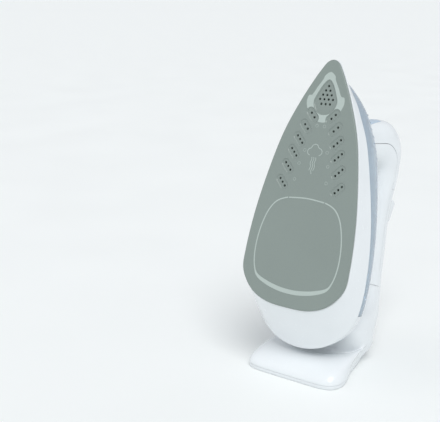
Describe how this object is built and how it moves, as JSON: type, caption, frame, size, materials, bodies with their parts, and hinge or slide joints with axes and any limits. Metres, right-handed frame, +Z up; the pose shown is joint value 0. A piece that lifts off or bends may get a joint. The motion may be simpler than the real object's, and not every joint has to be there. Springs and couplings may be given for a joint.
{
  "type": "clothes iron",
  "caption": "Steam iron standing on its wide heel rest, with a vented soleplate, translucent tank, closed white handle, thumb buttons, dial and filler lid.",
  "frame": {"origin": "on the floor under the middle of the iron as it stands on its heel rest", "axes": "+Z up, +X to the right side of the iron seen from the soleplate, +Y from the soleplate towards the handle"},
  "size_m": [0.1166, 0.1814, 0.29],
  "materials": {
    "sole_coating": "satin grey-green non-stick coating on cast aluminium",
    "aluminium": "pressed aluminium sheet",
    "steel": "plain bright steel",
    "brass": "turned brass",
    "ceramic": "unglazed ceramic sleeve",
    "silicone": "translucent silicone rubber",
    "white_shell": "glossy white moulding with soft blue shade",
    "white_base": "white moulding, slightly duller",
    "tank": "pale blue translucent plastic",
    "blue_control": "soft blue control plastic",
    "grey_plastic": "mid-grey moulding",
    "amber_lens": "amber lens",
    "dark_rubber": "dark rubber"
  },
  "bodies": {
    "iron": {"soleplate": "sole_coating", "heating_element": "steel", "chamber_cover": "aluminium", "heat_shield": "steel", "thermostat": "steel", "thermal_fuse": "ceramic", "drip_valve": "silicone", "skirt": "white_shell", "tank_base": "tank", "water_tank": "tank", "top_deck": "white_shell", "filler_funnel": "tank", "spray_nozzle": "grey_plastic", "front_cap": "white_shell", "handle_upper": "white_shell", "handle_lower": "white_shell", "indicator_lens": "amber_lens", "indicator_lamp": "amber_lens", "spray_pump": "grey_plastic", "shot_pump": "grey_plastic", "spray_hose": "silicone", "shot_hose": "silicone", "rear_housing": "white_shell", "rear_cover": "white_shell", "heel_base_cover": "white_base", "heel_screw_left": "steel", "heel_screw_right": "steel", "gland_cup": "grey_plastic", "terminal_block": "grey_plastic"},
    "spray_button": {"spray_button": "white_shell"},
    "shot_button": {"shot_button": "white_shell"},
    "spray_piston": {"spray_piston": "grey_plastic"},
    "shot_piston": {"shot_piston": "grey_plastic"},
    "steam_slider": {"steam_slider": "blue_control"},
    "valve_rod": {"valve_rod": "steel"},
    "temperature_dial": {"temperature_dial": "blue_control", "thermostat_shaft": "brass"},
    "filler_lid": {"filler_lid": "blue_control"},
    "cord_gland": {"cord_gland": "dark_rubber"}
  },
  "joints": [
    {"name": "spray_button_press", "type": "hinge", "parent": "iron", "child": "spray_button", "pos_m": [0.0083, 0.06389, 0.12427], "axis": [1, 0, 0], "range_deg": [0, 13], "stiffness_Nm_per_rad": 0.15},
    {"name": "shot_button_press", "type": "hinge", "parent": "iron", "child": "shot_button", "pos_m": [-0.0083, 0.06389, 0.12427], "axis": [1, 0, 0], "range_deg": [0, 13], "stiffness_Nm_per_rad": 0.15},
    {"name": "spray_piston_stroke", "type": "slide", "parent": "iron", "child": "spray_piston", "axis": [0, -0.9515, 0.3075], "range_m": [0, 0.0037]},
    {"name": "shot_piston_stroke", "type": "slide", "parent": "iron", "child": "shot_piston", "axis": [0, -0.9515, 0.3075], "range_m": [0, 0.0037]},
    {"name": "steam_slider_travel", "type": "slide", "parent": "iron", "child": "steam_slider", "axis": [0, 0.3075, 0.9515], "range_m": [0, 0.008]},
    {"name": "valve_rod_lift", "type": "slide", "parent": "iron", "child": "valve_rod", "axis": [0, 0.9515, -0.3075], "range_m": [0, 0.0032]},
    {"name": "temperature_dial_turn", "type": "hinge", "parent": "iron", "child": "temperature_dial", "pos_m": [0, -0.00534, 0.12142], "axis": [0, 0.9515, -0.3075], "range_deg": [0, 270]},
    {"name": "filler_lid_open", "type": "hinge", "parent": "iron", "child": "filler_lid", "pos_m": [0, 0.05836, 0.22715], "axis": [-1, 0, 0], "range_deg": [0, 95]},
    {"name": "cord_gland_swivel", "type": "hinge", "parent": "iron", "child": "cord_gland", "pos_m": [0, 0.0331, 0.05], "axis": [1, 0, 0], "range_deg": [-30, 10]}
  ],
  "couplings": [
    {"joint": "spray_piston_stroke", "follows": "spray_button_press", "m_per_rad": 0.0155},
    {"joint": "shot_piston_stroke", "follows": "shot_button_press", "m_per_rad": 0.0155},
    {"joint": "valve_rod_lift", "follows": "steam_slider_travel", "ratio": 0.375}
  ]
}
